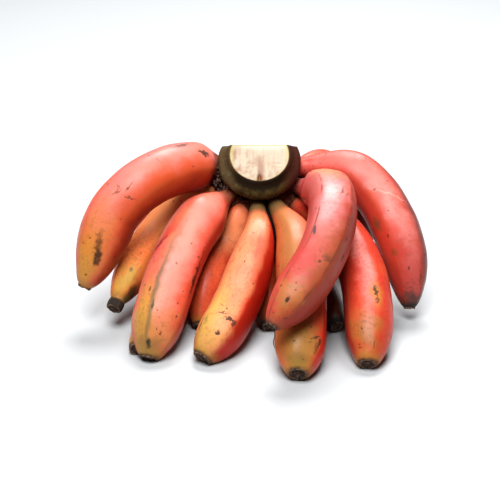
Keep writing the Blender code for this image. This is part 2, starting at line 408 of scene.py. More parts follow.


# The cushion: the dark tissue round the stalk in which the stems of both rows are
# grown together. It is red-brown, painted black as shade deep between two stems.
CUSHION_STEPS = 60
CUSHION_SIDES = 24
CUSHION_MIDDLE = 31
cushion_rows = []
for step in range(CUSHION_STEPS + 1):
    turn = math.radians(-108 + 216 * step / CUSHION_STEPS)
    tongue = 42 * math.exp(-((turn - 0.17) / 0.10) ** 2) + 6 * ease(-turn - 0.9)
    uneven = noise.noise(Vector((step * 0.35, 0, 1))) * 2.0
    uneven -= 5 * math.exp(-((turn + 0.42) / 0.15) ** 2) + 5 * math.exp(-((turn - 0.5) / 0.13) ** 2)
    row = []
    for corner in range(CUSHION_SIDES):
        around = 2 * math.pi * corner / CUSHION_SIDES
        reach = CUSHION_MIDDLE + (7 + tongue + uneven) * math.cos(around)
        depth = CUSHION_MIDDLE + (4.2 - 2.6 * math.cos(around)) * math.sin(around)
        if step in (0, CUSHION_STEPS):
            reach, depth = CUSHION_MIDDLE, CUSHION_MIDDLE
        row.append(stem_place(turn, reach, depth))
    cushion_rows.append(row)
cushion = roll_sheet("stem_cushion", cushion_rows,
                     [step / CUSHION_STEPS for step in range(CUSHION_STEPS + 1)])
tissue = Paint("stem_cushion_brown", 0.7)
share, own = skin_places(tissue.tree)[1:]
crumbs = cloud(own, 420, 5, 0.7)
# painted shade: black where the cushion lies deep between two stems and at its left end
deep = abs(share - 0.545).fade(0.04, 0.07, 1, 0).reckon("MAXIMUM", share.fade(0.26, 0.20))
colour = mix(crumbs.fade(0.35, 0.65), (0.045, 0.012, 0.007), (0.15, 0.042, 0.022))
colour = mix(deep, colour, (0.008, 0.004, 0.003))
cushion.data.materials.append(tissue.finished(colour, crumbs, 0.8, 0.002))
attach(cushion, "root")


# The bananas: each grows on the crown by its own stem. The peel is smooth and
# waxy with five blunt ridges; it is dark red to coral and turns orange and
# yellow-olive in patches. It narrows to a short end where the flower dried.
FRONT = ("red_skin", 24.5)
BACK = ("shaded_red_skin", 38.0)
ROOT_REACHES = (20, 37)
ROOT_RADIUS, ROOT_LENGTH = 4.7, 17
SWELL_START = 7.5
SIDES = 75
RING_GAP, TIP_RINGS = 1.7, 36
RIDGE_ROUNDING = 0.004
LINE_STEPS = 400
RIDGE_ANGLE = 2 * math.pi / 5
TIP_PROFILE = ((0.95, -0.3), (0.86, -0.1), (0.76, 0.7), (0.6, 1.3), (0.3, 1.5), (0, 1.5))
FLOOR_GAP = 0.000002
hand_shift = crown_centre - Vector((6, 64, 119)) * MM


def smooth_line(points):
    """Close places on a smooth curve through the points: a natural cubic spline."""
    points = np.array([tuple(point) for point in points], dtype=float)
    knots = np.concatenate(([0.0], np.cumsum(np.linalg.norm(np.diff(points, axis=0), axis=1))))
    gaps = np.diff(knots)
    rise = np.diff(points, axis=0) / gaps[:, None]
    system = np.eye(len(points))
    target = np.zeros_like(points)
    for row in range(1, len(points) - 1):
        system[row, row - 1:row + 2] = gaps[row - 1], 2 * (gaps[row - 1] + gaps[row]), gaps[row]
        target[row] = 6 * (rise[row] - rise[row - 1])
    bends = np.linalg.solve(system, target)
    where = np.linspace(0, knots[-1], LINE_STEPS + 1)
    part = np.clip(np.searchsorted(knots, where) - 1, 0, len(points) - 2)
    gap = gaps[part][:, None]
    before = (knots[part + 1] - where)[:, None] / gap
    after = 1 - before
    curve = (before ** 3 - before) * bends[part] + (after ** 3 - after) * bends[part + 1]
    return before * points[part] + after * points[part + 1] + curve * gap ** 2 / 6


def peel_stations(length, taper):
    """Distances of the rings along the fruit, closer together towards the tip."""
    body = np.linspace(0, length - taper, round((length - taper) / RING_GAP))
    ends = length - taper * (1 - np.linspace(0, 1, TIP_RINGS)) ** 1.4
    return np.concatenate((body, ends[1:]))


def ridged(turn, edge):
    """Share of the radius on a rounded five-sided section, with a ridge at each fifth."""
    half = RIDGE_ANGLE / 2
    from_ridge = abs((turn + half) % RIDGE_ANGLE - half)
    from_ridge = min(math.sqrt(from_ridge ** 2 + RIDGE_ROUNDING), half)
    return math.cos(edge * half) / math.cos(edge * (half - from_ridge))


def press_on_floor():
    """Cut the new piece level where it would pass through the floor."""
    bpy.ops.object.mode_set(mode="EDIT")
    bpy.ops.mesh.select_all(action="SELECT")
    bpy.ops.mesh.bisect(plane_co=(0, 0, FLOOR_GAP), plane_no=(0, 0, 1), use_fill=True,
                        clear_inner=True, threshold=0.000001)
    bpy.ops.object.mode_set(mode="OBJECT")


class Banana:
    """One banana: its middle line, stem, ridged and slightly uneven skin, and hollow tip."""

    def __init__(self, name, tier, angle, girth, places, roll=0, neck=6.4, stem=6, swell=34,
                 taper=48, edge=0.62, end=6.2, stub=0.0, nub=0.0, seed=0):
        self.name, self.girth, self.end, self.seed = name, girth, end, seed
        slot, tier_depth = tier
        route = [stem_place(math.radians(angle), reach, tier_depth) for reach in ROOT_REACHES]
        line = smooth_line(route + [Vector(place) * MM + hand_shift for place in places])
        steps = np.linalg.norm(np.diff(line, axis=0), axis=1)
        along = np.concatenate(([0.0], np.cumsum(steps))) / MM
        self.length = along[-1]
        normal = Vector((0, 0, 1))
        rows, shares = [], []
        for distance in peel_stations(self.length, taper):
            centre = Vector([np.interp(distance, along, line[:, axis]) for axis in range(3)])
            near = int(np.clip(np.searchsorted(along, distance), 1, len(line) - 2))
            heading = Vector(line[near + 1] - line[near - 1]).normalized()
            normal = (normal - heading * normal.dot(heading)).normalized()
            side = heading.cross(normal)
            radius = self.radius(distance, neck, stem, swell, taper, stub, nub)
            sharp = edge * ease((radius - 5) / (0.4 * girth))
            row = []
            for index in range(SIDES):
                ring_turn = 2 * math.pi * index / SIDES
                bearing = ring_turn + math.radians(roll)
                spread = normal * math.cos(bearing) + side * math.sin(bearing)
                place = centre + spread * (radius * ridged(ring_turn, sharp) * MM)
                uneven = noise.noise(place * 42 + Vector((seed, 0, 0))) * 0.5
                uneven += noise.noise(place * 110 + Vector((0, seed, 0))) * 0.16
                row.append(place + spread * ((uneven + 0.1) * ease(radius / girth) * MM))
            rows.append(row)
            shares.append(distance / self.length)
        self.tip, self.heading = centre, heading
        for share, sunk in TIP_PROFILE:
            rows.append([centre + (point - centre) * share - heading * (sunk * MM)
                         for point in row])
            shares.append(1.0)
        self.skin = roll_sheet(name + "_peel", rows, shares)
        press_on_floor()
        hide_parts(name)
        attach(self.skin, "root")

    def radius(self, distance, neck, stem, swell, taper, stub, nub):
        """Radius in mm at a distance from the start of the stem, inside the crown."""
        thin = ROOT_RADIUS + (neck - ROOT_RADIUS) * ease(distance / ROOT_LENGTH)
        body = thin + (self.girth - thin) * ease((distance - SWELL_START - stem) / swell) ** 0.75
        left = self.length - distance
        if left < taper:
            free = max(left - stub, 0) / (taper - stub)
            body = self.end + (body - self.end) * (1 - (1 - free) ** 2) ** 0.8
        return body + nub * math.exp(-((left - 3.5) / 4.5) ** 2)


def start_group(name, takes, *gives):
    """A shader node group, wires from its named inputs, and its named outlets."""
    group = bpy.data.node_groups.new(name, "ShaderNodeTree")
    kinds = {True: "NodeSocketColor", False: "NodeSocketFloat"}
    for label, value in takes.items():
        coloured = isinstance(value, tuple)
        socket = group.interface.new_socket(name=label, in_out="INPUT",
                                            socket_type=kinds[coloured])
        socket.default_value = (*value, 1) if coloured else value
    for label in gives:
        group.interface.new_socket(name=label, in_out="OUTPUT",
                                   socket_type=kinds[label == "Colour"])
    entry, outlet = group.nodes.new("NodeGroupInput"), group.nodes.new("NodeGroupOutput")
    return group, {label: Wire(entry, label) for label in takes}, outlet.inputs


def spot_group():
    """Share of a ragged oval on the peel: 1 inside it, 0 outside."""
    group, given, gives = start_group(
        "spot_on_the_peel",
        {"Round": 0.5, "Along": 0.5, "Girth": 110.0, "Length": 160.0, "Half width": 5.0,
         "Half length": 5.0, "Turn": 0.0, "Ragged": 1.0, "Softness": 0.3, "Grain": 330.0},
        "Share")
    round_share, along_share, own = skin_places(group)
    sideways = (round_share - given["Round"]).reckon("WRAP", 0.5, -0.5) * given["Girth"]
    lengthways = (along_share - given["Along"]) * given["Length"]
    offset = Wire(add_node(group, "ShaderNodeCombineXYZ", {0: sideways, 1: lengthways}))
    turned = Wire(add_node(group, "ShaderNodeVectorRotate", {
        "Vector": offset, "Angle": given["Turn"]}, rotation_type="Z_AXIS"))
    squares = []
    for place, half, stretch in zip(turned.parts(), ("Half width", "Half length"),
                                    (None, (0.9, -1.1, 0.9))):
        rough = (cloud(own, given["Grain"], 3, 0.55, stretch) - 0.5) * (given["Ragged"] * 4.0)
        reach = (place + rough) / given[half]
        squares.append(reach * reach)
    away = (squares[0] + squares[1]).reckon("SQRT")
    away.fade(1.0 - given["Softness"], given["Softness"] + 1.0, 1.0, 0.0).feed(gives["Share"])
    return group


def ground_group():
    """Red peel that runs warmer and deeper in slow clouds, long streaks and fine hairs,
    and is painted darker round its underside as shade.
    """
    group, given, gives = start_group(
        "red_peel_ground",
        {"Flush": (0.6, 0.07, 0.04), "Warm": (0.7, 0.2, 0.07), "Deep": (0.3, 0.02, 0.015),
         "Warm share": 0.5, "Seed": 0.0}, "Colour")
    round_share, along_share, own = skin_places(group)
    turn = round_share * (2 * math.pi)
    streak_place = Wire(add_node(group, "ShaderNodeCombineXYZ", {
        0: turn.reckon("COSINE"), 1: turn.reckon("SINE"), 2: along_share * 0.45}))
    streaks = cloud(streak_place.shift("ADD", given["Seed"]), 5.5, 4, 0.6)
    hairs = cloud(streak_place, 30, 4, 0.65)
    small = cloud(own, 420, 5, 0.65, (1, 1, 0.6))
    warmth = cloud(own, 34, 3) * 0.65 + streaks * 0.35
    edge = 0.78 - given["Warm share"] * 0.5
    flush, warm, deep = given["Flush"], given["Warm"], given["Deep"]
    layered(mix(warmth.fade(edge - 0.1, edge + 0.1), flush, warm),
            (cloud(own, 120, 4, 0.55).fade(0.5, 0.8, 0, 0.35), deep),
            (streaks.fade(0.55, 0.75, 0, 0.2), deep),
            (small.fade(0.50, 0.70, 0, 0.45), deep),
            (small.fade(0.47, 0.30, 0, 0.30), warm),
            (hairs.fade(0.55, 0.72, 0, 0.35), deep),
            # painted shade: deep red laid thickly round the underside of each fruit
            (abs(round_share - 0.5).fade(0.14, 0.33, 0.9, 0.0), deep)).feed(gives["Colour"])
    return group


def ends_group():
    """The stem's brown-green and the dried dark end, with ragged limits."""
    group, given, gives = start_group(
        "stem_and_tip",
        {"Colour": (0.6, 0.07, 0.04), "Length": 160.0, "Stem": (0.08, 0.05, 0.02),
         "Stem root": (0.02, 0.012, 0.006), "Stem reach": 20.0, "Tip": (0.03, 0.02, 0.015),
         "Tip green": (0.3, 0.26, 0.05), "Tip reach": 3.0}, "Colour", "Dry")
    along_share, own = skin_places(group)[1:]
    rough = cloud(own, 260, 4, 0.6) - 0.5
    start = along_share * given["Length"] + rough * 9.0
    left = (1.0 - along_share) * given["Length"] + rough * 4.5
    stem, tip = given["Stem reach"], given["Tip reach"]
    dry = left.fade(tip - 1.5, tip + 1.6, 1.0, 0.0)
    layered(given["Colour"],
            (start.fade(stem, stem + 13.0, 1.0, 0.0), given["Stem"]),
            (start.fade(stem * 0.4, stem + 3.0, 1.0, 0.0), given["Stem root"]),
            (left.fade(tip, tip + 8.0, 0.6, 0.0), given["Tip green"]),
            (dry, given["Tip"])).feed(gives["Colour"])
    dry.feed(gives["Dry"])
    return group


def ridge_group():
    """Fine broken lines along the five ridges."""
    group, given, gives = start_group(
        "ridge_lines", {"Girth": 110.0, "Half width": 0.8, "Strength": 0.4}, "Share")
    round_share, own = skin_places(group)[::2]
    away = abs((round_share * 5.0).reckon("WRAP", 0.5, -0.5)) * 0.2 * given["Girth"]
    away = away + (cloud(own, 160, 3) - 0.5) * 1.6
    line = away.fade(given["Half width"] * 0.3, given["Half width"] * 1.7, 1.0, 0.0)
    broken = cloud(own, 70, 3).fade(0.38, 0.62)
    (line * broken * given["Strength"]).feed(gives["Share"])
    return group


def speck_group():
    """Small dark specks strewn thinly over the peel, and the fine pores between them."""
    group, given, gives = start_group("specks_and_pores", {"Amount": 0.3}, "Specks", "Pores")
    own = own_place(group)
    bent = Wire(add_node(group, "ShaderNodeTexNoise", {"Vector": own, "Scale": 420.0}), "Color")
    strewn = own.shift("ADD", bent.shift("MULTIPLY", (0.0022, 0.0022, 0.0022)))
    cells = add_node(group, "ShaderNodeTexVoronoi", {"Vector": strewn, "Scale": 170.0})
    pick = add_node(group, "ShaderNodeSeparateColor", {0: Wire(cells, "Color")})
    size = Wire(pick, 1) * 0.16 + 0.05
    dot = Wire(cells, "Distance").fade(size * 0.6, size, 1, 0)
    (dot * Wire(pick, 0).reckon("LESS_THAN", given["Amount"])).feed(gives["Specks"])
    cloud(own, 1500, 2).feed(gives["Pores"])
    return group


SPOT, GROUND, ENDS, RIDGES, SPECKS = (spot_group(), ground_group(), ends_group(), ridge_group(),
                                     speck_group())
SCAR_BROWN = (0.085, 0.022, 0.008)
# DEEP_RED is the peel's deeper red in clouds and streaks, and also its painted shade underneath.
DEEP_RED = (0.27, 0.016, 0.010)
OLIVE = (0.32, 0.18, 0.03)
AMBER = (0.58, 0.19, 0.03)


class Peel(Paint):
    """The paint of one banana: ground, ripening patches, painted highlights and shade, scars, ends,
    ridges and specks.

    A mark's place is its share round the fruit and its share along it, and its size is
    its half width and half length in mm. Its share is how far it covers what is below.
    """

    def __init__(self, banana, flush, warm, warm_share=0.5, shine=0.15):
        super().__init__(banana.name + "_skin", 0.38, shine)
        self.banana = banana
        self.round_length = banana.girth * 2 * math.pi
        self.own = own_place(self.tree)
        self.rough_places = []
        self.colour = Wire(self.effect(GROUND, {
            "Flush": flush, "Warm": warm, "Deep": DEEP_RED, "Warm share": warm_share,
            "Seed": banana.seed}))

    def effect(self, group, feeds):
        """Place a shared effect with this banana's values."""
        return add_node(self.tree, "ShaderNodeGroup", feeds, node_tree=group)

    def spot(self, where, size, share, ragged, soft, turn, grain):
        """Share of one oval on this banana, turned by degrees."""
        return Wire(self.effect(SPOT, {
            "Round": where[0], "Along": where[1], "Girth": self.round_length,
            "Length": self.banana.length, "Half width": size[0], "Half length": size[1],
            "Turn": math.radians(turn), "Ragged": ragged, "Softness": soft,
            "Grain": grain})) * share

    def patch(self, colour, where, size, share=0.85, ragged=4, soft=0.6, turn=0, grain=75):
        """A soft patch of another colour, for ripening and for painted highlights and shade."""
        self.colour = mix(self.spot(where, size, share, ragged, soft, turn, grain),
                          self.colour, colour)

    def freckle(self, colour, where, size, share=0.6, sparse=0.56):
        """A zone of small blotches of another colour."""
        dots = cloud(self.own, 380, 5, 0.7).fade(sparse - 0.03, sparse + 0.12)
        zone = self.spot(where, size, share, 6, 0.9, 0, 90)
        self.colour = mix(zone * dots, self.colour, colour)

    def scar(self, where, size, share=0.85, ragged=0.6, soft=0.35, turn=0, colour=SCAR_BROWN):
        """A dry mark: darker, rougher and a little sunk."""
        spread = self.spot(where, size, share, ragged, soft, turn, 330)
        self.colour = mix(spread, self.colour, colour)
        self.rough_places.append(spread)

    def patches(self, *marks):
        """Patches, one after another."""
        for mark in marks:
            self.patch(*mark)

    def freckles(self, *marks):
        """Freckled zones, one after another."""
        for mark in marks:
            self.freckle(*mark)

    def scars(self, *marks):
        """Scars, one after another."""
        for mark in marks:
            self.scar(*mark)

    def ends(self, stem=(0.09, 0.06, 0.02), stem_reach=20.0, tip_reach=1.6,
             tip=(0.055, 0.028, 0.016), tip_green=OLIVE, root=(0.018, 0.010, 0.006)):
        """The stem's colour at one end and the dried end at the other."""
        ends = self.effect(ENDS, {
            "Colour": self.colour, "Length": self.banana.length, "Stem": stem, "Stem root": root,
            "Stem reach": stem_reach, "Tip": tip, "Tip green": tip_green, "Tip reach": tip_reach})
        self.colour = Wire(ends, "Colour")
        self.rough_places.append(Wire(ends, "Dry"))

    def finish(self, specks=0.3, ridge=0.35, ridge_colour=(0.22, 0.13, 0.04), ridge_width=0.8):
        """Ridge lines, specks, pores and gloss, and the paint goes on the banana."""
        lines = self.effect(RIDGES, {"Girth": self.round_length, "Half width": ridge_width,
                                     "Strength": ridge})
        strewn = self.effect(SPECKS, {"Amount": specks})
        dry = Wire(strewn, "Specks") * 0.7
        colour = mix(dry, mix(Wire(lines), self.colour, ridge_colour), SCAR_BROWN)
        for place in self.rough_places:
            dry = dry.reckon("MAXIMUM", place)
        wax = cloud(self.own, 90, 3)
        gloss = wax.fade(0.3, 0.7, 0.30, 0.42) + dry * 0.3
        gloss.feed(self.shader.inputs["Roughness"])
        height = Wire(strewn, "Pores") * 0.10 + wax - dry * 0.5
        self.banana.skin.data.materials.append(self.finished(colour, height, 0.35, 0.0006))


def dried_end_paint():
    """Dry flower remains: brown-black crumbs with grey-purple flakes and a paler rim."""
    paint = Paint("dried_flower_end", 0.8)
    out, own = skin_places(paint.tree)[1:]
    crumbs = cloud(own, 650, 5, 0.7)
    flakes = cloud(own, 330, 4, 0.6)
    rim = out.fade(0.62, 0.78) * crumbs.fade(0.35, 0.55) * 0.5
    colour = layered(mix(crumbs.fade(0.35, 0.7), (0.018, 0.009, 0.006), (0.11, 0.055, 0.035)),
                     (flakes.fade(0.58, 0.67, 0, 0.6), (0.20, 0.15, 0.14)),
                     (rim, (0.22, 0.15, 0.10)))
    return paint.finished(colour, crumbs, 0.8, 0.0012)


DRIED = dried_end_paint()
END_STEPS = 45
END_PROFILE = ((0.0, -2.6), (0.8, -2.6), (0.93, -1.6), (0.99, -0.5), (1.0, 0.2), (0.95, 0.75),
               (0.88, 0.9), (0.8, 0.5), (0.72, -0.2), (0.62, -0.3), (0.52, 0.2), (0.42, 0.8),
               (0.3, 1.1), (0.18, 0.9), (0.08, 0.6), (0.0, 0.5))


def flower_end(fruit, size=1.0, stand=1.0):
    """The dried remains of the flower, seated in the hollow tip of a banana."""
    side = fruit.heading.orthogonal().normalized()
    other = fruit.heading.cross(side)
    rows = []
    for share, rise in END_PROFILE:
        row = []
        for step in range(END_STEPS):
            turn = 2 * math.pi * step / END_STEPS
            right, up = math.cos(turn), math.sin(turn)
            ragged = noise.noise(Vector((right * 1.6 + fruit.seed, up * 1.6, share * 3)))
            crumb = noise.noise(Vector((right * 4.5, up * 4.5 + fruit.seed, share * 9)))
            reach = share * fruit.end * size * (1 + 0.10 * ragged + 0.06 * crumb)
            lift = (rise + (0.6 * ragged + 0.55 * crumb) * share) * stand if rise > -1 else rise
            spread = side * right + other * up
            row.append(fruit.tip + (spread * reach + fruit.heading * lift) * MM)
        rows.append(row)
    end = roll_sheet(fruit.name + "_flower_end", rows, [share for share, rise in END_PROFILE])
    press_on_floor()
    end.data.materials.append(DRIED)
    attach(end, "root")


# front_banana_1: the left-hand outer fruit. It arches sideways and down, pink-red
# on top and amber towards its tip, with brown blotches where it was rubbed. A pale
# highlight along its top, a mauve reflection on its top edge and shade on its inner
# side are painted on.
fruit = Banana("front_banana_1", FRONT, -93, 21.0,
               ((-64, 53, 109.7), (-106.8, 22, 86.2), (-122.2, 6, 50.5), (-129.8, 0, 34)),
               neck=9, stem=2, swell=30, taper=52, edge=0.5, end=5.6, stub=1, seed=1)
peel = Peel(fruit, (0.66, 0.105, 0.065), (0.64, 0.085, 0.025), 0.5)
peel.patches(
    # painted highlight: pale pink along the top of the fruit
    ((0.72, 0.25, 0.22), (0.915, 0.42), (10, 66), 0.75, 4, 1.0),
    # painted shade: deeper orange-red down the lower inner side
    ((0.52, 0.062, 0.012), (0.79, 0.45), (17, 72), 0.88, 6, 0.9),
    # painted shade: near black-red along the lower inner edge
    ((0.26, 0.020, 0.006), (0.68, 0.52), (10, 84), 0.85, 4, 0.9),
    (AMBER, (0.94, 0.86), (15, 28), 0.9, 6, 0.8),
    ((0.50, 0.23, 0.035), (0.95, 0.92), (10, 14), 0.7, 6),
    # painted reflection: mauve along the top edge
    ((0.42, 0.17, 0.17), (0.03, 0.38), (7, 40), 0.6, 3, 0.9))
peel.freckle((0.30, 0.12, 0.025), (0.94, 0.78), (16, 30), 0.7, 0.54)
peel.scars(
    ((0.885, 0.81), (2.4, 9), 0.8, 2.6, 0.7, -10),
    ((0.868, 0.855), (3.2, 6), 0.97, 2.6, 0.6, -6, (0.06, 0.022, 0.008)),
    ((0.91, 0.557), (0.5, 4), 0.8, 1.2, 0.6, -19),
    ((0.86, 0.585), (4.5, 0.6), 0.75, 1.5, 0.6, -24),
    ((0.94, 0.60), (0.6, 3.5), 0.65, 1.6, 0.6, 20),
    ((0.955, 0.585), (0.6, 2.0), 0.6, 1.5, 0.6, -60),
    ((0.905, 0.225), (2.6, 5.4), 0.97, 2.2, 0.4, 28, (0.05, 0.026, 0.014)),
    ((0.88, 0.225), (1.0, 1.6), 0.8, 1.4),
    ((0.992, 0.305), (2.0, 6), 0.9, 1.6, 0.5, 0, (0.09, 0.045, 0.035)),
    ((0.95, 0.42), (0.5, 1.6), 0.5, 0.6, 0.35, 70))
peel.ends(stem_reach=15, stem=(0.16, 0.035, 0.022), tip_reach=0.6, root=(0.03, 0.012, 0.008))
peel.finish(specks=0.45, ridge=0.2)
flower_end(fruit, 0.92)

# front_banana_2: the thickest fruit, left of the middle. A grey-green line runs
# down its upper ridge, and its outer face has turned yellow.
fruit = Banana("front_banana_2", FRONT, -47, 21.0,
               ((-40, 37, 74), (-60, -6, 49), (-70.4, -37, 23.3), (-76.8, -56.5, 2.8)), roll=-11,
               stem=8, swell=34, taper=36, end=6.8, seed=2)
peel = Peel(fruit, (0.62, 0.115, 0.075), (0.64, 0.12, 0.05), 0.5)
peel.patches(
    ((0.56, 0.040, 0.018), (0.785, 0.55), (11, 80), 0.8, 3, 0.9),
    ((0.60, 0.07, 0.03), (0.93, 0.22), (20, 18), 0.6, 5, 0.8),
    # painted highlight: pale pink down the middle of its upper face
    ((0.72, 0.26, 0.21), (0.925, 0.52), (9, 64), 0.75, 4, 1.0),
    ((0.50, 0.25, 0.045), (0.06, 0.91), (11, 34), 0.9, 6, 0.7),
    ((0.42, 0.20, 0.04), (0.98, 0.95), (14, 13), 0.85, 5, 0.8),
    ((0.60, 0.19, 0.06), (0.87, 0.93), (14, 16), 0.75, 6, 0.8),
    ((0.50, 0.030, 0.028), (0.10, 0.50), (4.5, 17), 0.75, 4, 0.8, 34),
    ((0.085, 0.080, 0.040), (0.995, 0.72), (2.0, 46), 0.78, 2.4, 0.9),
    ((0.22, 0.10, 0.03), (0.95, 0.968), (16, 6), 0.8, 6, 0.8))
peel.freckles(
    ((0.30, 0.12, 0.03), (0.92, 0.84), (20, 22), 0.6, 0.54),
    ((0.24, 0.14, 0.03), (0.07, 0.82), (12, 24), 0.6, 0.54))
peel.scars(
    ((0.115, 0.515), (1.0, 8), 0.9, 1.8, 0.35, 32, (0.12, 0.010, 0.009)),
    ((0.085, 0.50), (0.8, 6), 0.8, 1.8, 0.35, 36, (0.16, 0.012, 0.010)),
    ((0.79, 0.50), (0.5, 11), 0.75, 1.6, 0.6, -5),
    ((0.775, 0.62), (1.8, 13), 0.95, 2.4, 0.6, -4, (0.05, 0.012, 0.006)),
    ((0.04, 0.735), (1.0, 2.2), 0.8, 1.0, 0.35, 0, (0.07, 0.05, 0.02)),
    ((0.99, 0.80), (0.8, 3.4), 0.85, 0.8, 0.35, 0, (0.05, 0.04, 0.02)),
    ((0.955, 0.82), (0.6, 0.8), 0.7),
    ((0.845, 0.765), (0.5, 0.9)),
    ((0.83, 0.82), (0.7, 1.1), 0.9),
    ((0.90, 0.905), (1.4, 1.6), 0.85, 1.6, 0.35, 40, (0.16, 0.03, 0.01)),
    ((0.965, 0.955), (3.0, 3.8), 0.95, 2.2, 0.35, 0, (0.028, 0.026, 0.012)))
peel.ends(stem_reach=16, stem=(0.26, 0.07, 0.035), tip_reach=0.8)
peel.finish(specks=0.4, ridge=0.3)
flower_end(fruit)

# front_banana_3: peach-coloured, under the middle of the crown. A sharp ridge
# parts its warm upper face from a red one, painted dark as shade.
fruit = Banana("front_banana_3", FRONT, -2, 19.2,
               ((5, 27, 70), (-7, -11, 40), (-21, -39, 21), (-37, -61, 5.4)), roll=32,
               swell=74, taper=30, edge=0.78, end=7, seed=3)
peel = Peel(fruit, (0.66, 0.13, 0.065), (0.68, 0.20, 0.085), 0.7)
peel.patches(
    # the red right face, painted dark as shade
    ((0.46, 0.013, 0.005), (0.69, 0.60), (14, 80), 0.95, 3, 0.3),
    ((0.58, 0.045, 0.025), (0.83, 0.35), (4, 40), 0.6, 4, 0.8),
    ((0.52, 0.16, 0.06), (0.92, 0.22), (14, 18), 0.75, 4, 0.9),
    ((0.56, 0.29, 0.075), (0.94, 0.91), (13, 19), 0.85, 6, 0.8),
    ((0.48, 0.27, 0.05), (0.01, 0.82), (7, 28), 0.7, 5, 0.9))
peel.freckle((0.30, 0.14, 0.03), (0.96, 0.86), (16, 20), 0.65, 0.53)
peel.scars(
    ((0.92, 0.49), (0.6, 0.9)),
    ((0.90, 0.775), (1.0, 0.8)),
    ((0.905, 0.80), (5, 0.6), 0.8, 1.6, 0.5, -12),
    ((0.85, 0.815), (4.6, 1.1), 0.95, 1.8, 0.35, -10, (0.05, 0.018, 0.01)),
    ((0.81, 0.825), (1.6, 2.6), 0.9, 1.6, 0.35, 20, (0.05, 0.018, 0.01)),
    ((0.95, 0.765), (2.2, 0.5), 0.6, 0.6, 0.35, 15),
    ((0.865, 0.893), (1.9, 1.7), 0.95, 1.6, 0.35, 0, (0.06, 0.02, 0.012)),
    ((0.99, 0.86), (1.2, 3.5), 0.6, 2, 0.35, 0, (0.16, 0.13, 0.03)),
    ((0.03, 0.88), (1.3, 4.5), 0.8, 1.8, 0.6, 0, (0.07, 0.06, 0.025)))
peel.ends(stem_reach=20, stem=(0.15, 0.085, 0.03), tip_reach=1.0)
peel.finish(specks=0.35)
flower_end(fruit, 1.03)

# front_banana_4: the foremost fruit, right of the middle, yellow-olive in front
# and red on its right face.
fruit = Banana("front_banana_4", FRONT, 22, 19.8,
               ((32, 26, 69), (38, -24, 36), (36, -60, 19), (33, -87.5, 7.2)), roll=34,
               swell=74, taper=32, end=7.2, seed=4)
peel = Peel(fruit, (0.56, 0.065, 0.028), (0.58, 0.15, 0.04), 0.6)
peel.patches(
    ((0.33, 0.125, 0.042), (0.99, 0.38), (13, 52), 0.9, 5, 0.7),
    ((0.66, 0.15, 0.09), (0.85, 0.33), (8, 40), 0.7, 5, 0.7),
    ((0.33, 0.160, 0.036), (0.95, 0.91), (17, 20), 0.9, 5, 0.7),
    ((0.16, 0.09, 0.025), (0.94, 0.972), (15, 4.5), 0.75, 6, 0.8),
    ((0.60, 0.024, 0.009), (0.72, 0.82), (12, 50), 0.95, 3, 0.3))
peel.scars(
    ((0.845, 0.875), (0.7, 4.8), 0.95, 1.8, 0.35, 62, (0.05, 0.018, 0.01)),
    ((0.805, 0.89), (1.0, 4.4), 0.9, 1.8, 0.35, 10, (0.06, 0.018, 0.01)),
    ((0.82, 0.915), (1.6, 4), 0.6, 2, 0.7, -20),
    ((0.875, 0.90), (0.4, 2), 0.6, 0.6, 0.35, 70))
peel.freckle((0.24, 0.10, 0.02), (0.93, 0.90), (14, 18), 0.6, 0.54)
peel.ends(stem_reach=20, stem=(0.16, 0.085, 0.03), tip_reach=0.4)
peel.finish(specks=0.4)
flower_end(fruit, 0.96, 0.8)

# front_banana_5: stands out over the others on the right, pink and mottled with
# olive and brown. A pale highlight along its top and shade on its lower right side
# are painted on.
fruit = Banana("front_banana_5", FRONT, 64, 19.5,
               ((61, 26, 100), (54, -28, 82), (31, -65, 59), (14, -83, 44)), roll=25,
               swell=35, taper=42, edge=0.7, end=4.6, seed=5)
peel = Peel(fruit, (0.46, 0.048, 0.036), (0.46, 0.065, 0.028), 0.4)
peel.patches(
    # painted highlight: pale pink along the top of the fruit
    ((0.62, 0.22, 0.215), (0.965, 0.45), (14, 58), 0.9, 6, 0.9),
    # painted shade: near black-red on the lower right side
    ((0.20, 0.020, 0.008), (0.75, 0.74), (15, 62), 0.92, 7, 0.9),
    ((0.30, 0.070, 0.028), (0.85, 0.74), (20, 26), 0.75, 9, 0.7),
    ((0.50, 0.20, 0.07), (0.92, 0.27), (10, 14), 0.75, 7, 0.9),
    ((0.42, 0.035, 0.032), (0.97, 0.78), (12, 30), 0.8, 6, 0.8),
    ((0.40, 0.13, 0.035), (0.91, 0.91), (11, 12), 0.8, 8, 0.8),
    ((0.38, 0.035, 0.03), (0.06, 0.60), (8, 70), 0.65, 3, 0.8),
    # painted shade: dark red on the lower right side
    ((0.36, 0.03, 0.014), (0.71, 0.75), (8, 50), 0.8))
peel.freckles(
    ((0.17, 0.050, 0.020), (0.83, 0.74), (18, 32), 0.5, 0.515),
    ((0.30, 0.12, 0.03), (0.92, 0.90), (14, 14), 0.75, 0.48),
    ((0.30, 0.09, 0.05), (0.82, 0.42), (16, 30), 0.6, 0.52),
    ((0.36, 0.12, 0.08), (0.0, 0.40), (12, 40), 0.5, 0.52))
